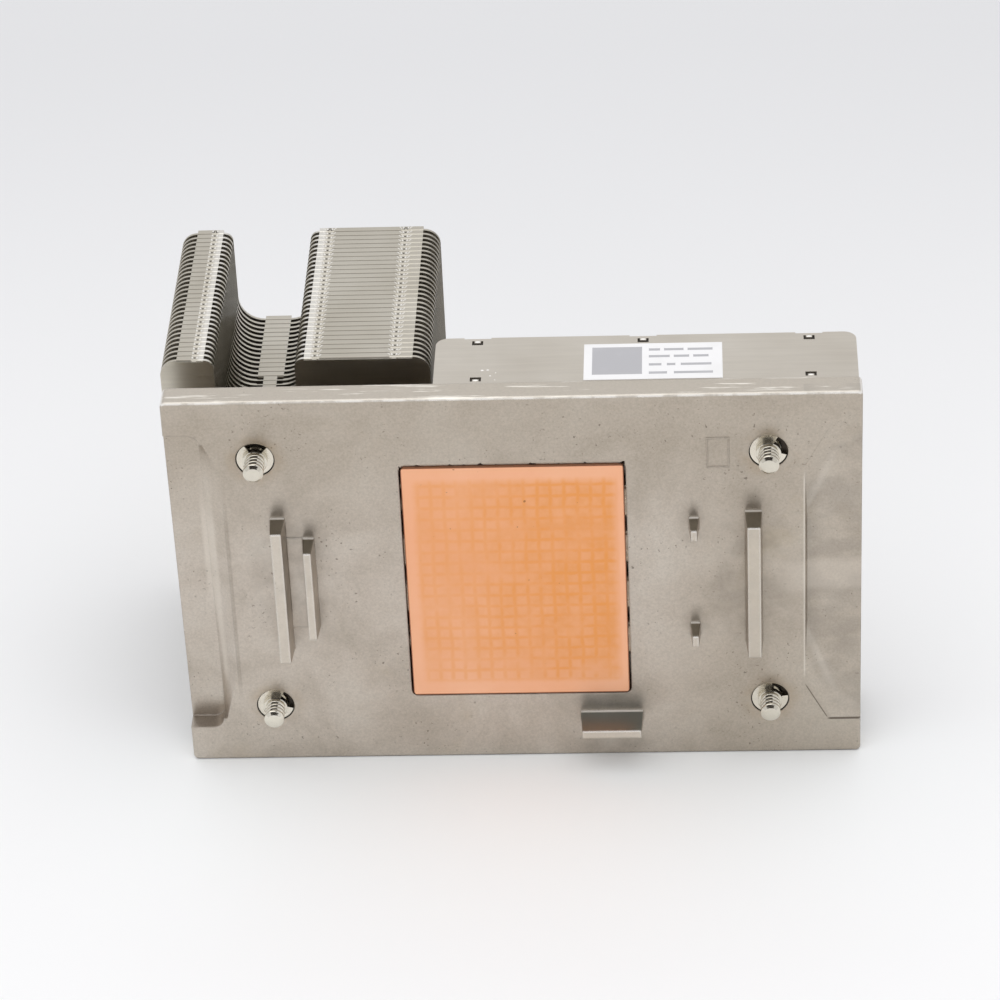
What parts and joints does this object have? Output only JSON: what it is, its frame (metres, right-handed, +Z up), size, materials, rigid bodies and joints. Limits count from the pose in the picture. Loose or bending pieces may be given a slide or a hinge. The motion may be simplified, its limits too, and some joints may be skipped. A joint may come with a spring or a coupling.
{
  "type": "passive server cpu heatsink",
  "caption": "Passive heatsink for a server processor: cast base plate with a copper contact face, heat pipes, a tall notched fin tower, a low fin stack and captive sprung screws.",
  "frame": {"origin": "centre of the copper contact face, which is also the centre of the four screws", "axes": "+X along the long side of the base plate, away from the fin tower; +Y from the contact face towards the fins; +Z up, along the short side of the plate, which stands on its long edge"},
  "size_m": [0.1291, 0.0697, 0.0812],
  "materials": {
    "plate_nickel": "nickel-plated cast aluminium, fine mottled grain, light scratches and stains",
    "contact_copper": "fine-milled bare copper with a faint print of square grease cells",
    "pipe_copper": "nickel-plated copper heat pipe",
    "tower_fin_nickel": "nickel-plated sheet, bright",
    "stack_fin_nickel": "nickel-plated sheet, warm grey",
    "screw_steel": "bright nickel-plated turned steel",
    "ring_steel": "bright plated spring steel",
    "spring_steel": "drawn spring wire",
    "label_paper": "white paper label, left blank"
  },
  "bodies": {
    "heatsink": {"base_plate": "plate_nickel", "contact_block": "contact_copper", "heat_pipe_lower_inner": "pipe_copper", "heat_pipe_lower_outer": "pipe_copper", "heat_pipe_upper_inner": "pipe_copper", "heat_pipe_upper_outer": "pipe_copper", "label": "label_paper", "spring_bottom_left": "spring_steel", "spring_bottom_right": "spring_steel", "spring_top_left": "spring_steel", "spring_top_right": "spring_steel", "stack_fin_top": "stack_fin_nickel", "stack_fins_bottom_edge": "stack_fin_nickel", "stack_fins_lower_pocket": "stack_fin_nickel", "stack_fins_middle": "stack_fin_nickel", "stack_fins_top_edge": "stack_fin_nickel", "stack_fins_upper_pocket": "stack_fin_nickel", "tower_fin_01": "tower_fin_nickel", "tower_fin_02": "tower_fin_nickel", "tower_fin_03": "tower_fin_nickel", "tower_fin_04": "tower_fin_nickel", "tower_fin_05": "tower_fin_nickel", "tower_fin_06": "tower_fin_nickel", "tower_fin_07": "tower_fin_nickel", "tower_fin_08": "tower_fin_nickel", "tower_fin_09": "tower_fin_nickel", "tower_fin_10": "tower_fin_nickel", "tower_fin_11": "tower_fin_nickel", "tower_fin_12": "tower_fin_nickel", "tower_fin_13": "tower_fin_nickel", "tower_fin_14": "tower_fin_nickel", "tower_fin_15": "tower_fin_nickel", "tower_fin_16": "tower_fin_nickel", "tower_fin_17": "tower_fin_nickel", "tower_fin_18": "tower_fin_nickel", "tower_fin_19": "tower_fin_nickel", "tower_fin_20": "tower_fin_nickel", "tower_fin_21": "tower_fin_nickel", "tower_fin_22": "tower_fin_nickel", "tower_fin_23": "tower_fin_nickel", "tower_fin_24": "tower_fin_nickel", "tower_fin_25": "tower_fin_nickel", "tower_fin_26": "tower_fin_nickel", "tower_fin_27": "tower_fin_nickel", "tower_fin_28": "tower_fin_nickel", "tower_fin_29": "tower_fin_nickel", "tower_fin_30": "tower_fin_nickel"},
    "retainer_top_left": {"ring_top_left": "ring_steel"},
    "turning_screw_top_left": {"screw_top_left": "screw_steel"},
    "retainer_top_right": {"ring_top_right": "ring_steel"},
    "turning_screw_top_right": {"screw_top_right": "screw_steel"},
    "retainer_bottom_left": {"ring_bottom_left": "ring_steel"},
    "turning_screw_bottom_left": {"screw_bottom_left": "screw_steel"},
    "retainer_bottom_right": {"ring_bottom_right": "ring_steel"},
    "turning_screw_bottom_right": {"screw_bottom_right": "screw_steel"}
  },
  "joints": [
    {"name": "travel_top_left", "type": "slide", "parent": "heatsink", "child": "retainer_top_left", "axis": [0, -1, 0], "range_m": [0, 0.0045], "stiffness_N_per_m": 400, "springref_m": -0.002, "deforming": ["spring_top_left"]},
    {"name": "turn_top_left", "type": "hinge", "parent": "retainer_top_left", "child": "turning_screw_top_left", "pos_m": [-0.047, 0, 0.028], "axis": [0, -1, 0], "continuous": true},
    {"name": "travel_top_right", "type": "slide", "parent": "heatsink", "child": "retainer_top_right", "axis": [0, -1, 0], "range_m": [0, 0.0045], "stiffness_N_per_m": 400, "springref_m": -0.002, "deforming": ["spring_top_right"]},
    {"name": "turn_top_right", "type": "hinge", "parent": "retainer_top_right", "child": "turning_screw_top_right", "pos_m": [0.047, 0, 0.028], "axis": [0, -1, 0], "continuous": true},
    {"name": "travel_bottom_left", "type": "slide", "parent": "heatsink", "child": "retainer_bottom_left", "axis": [0, -1, 0], "range_m": [0, 0.0045], "stiffness_N_per_m": 400, "springref_m": -0.002, "deforming": ["spring_bottom_left"]},
    {"name": "turn_bottom_left", "type": "hinge", "parent": "retainer_bottom_left", "child": "turning_screw_bottom_left", "pos_m": [-0.047, 0, -0.028], "axis": [0, -1, 0], "continuous": true},
    {"name": "travel_bottom_right", "type": "slide", "parent": "heatsink", "child": "retainer_bottom_right", "axis": [0, -1, 0], "range_m": [0, 0.0045], "stiffness_N_per_m": 400, "springref_m": -0.002, "deforming": ["spring_bottom_right"]},
    {"name": "turn_bottom_right", "type": "hinge", "parent": "retainer_bottom_right", "child": "turning_screw_bottom_right", "pos_m": [0.047, 0, -0.028], "axis": [0, -1, 0], "continuous": true}
  ]
}
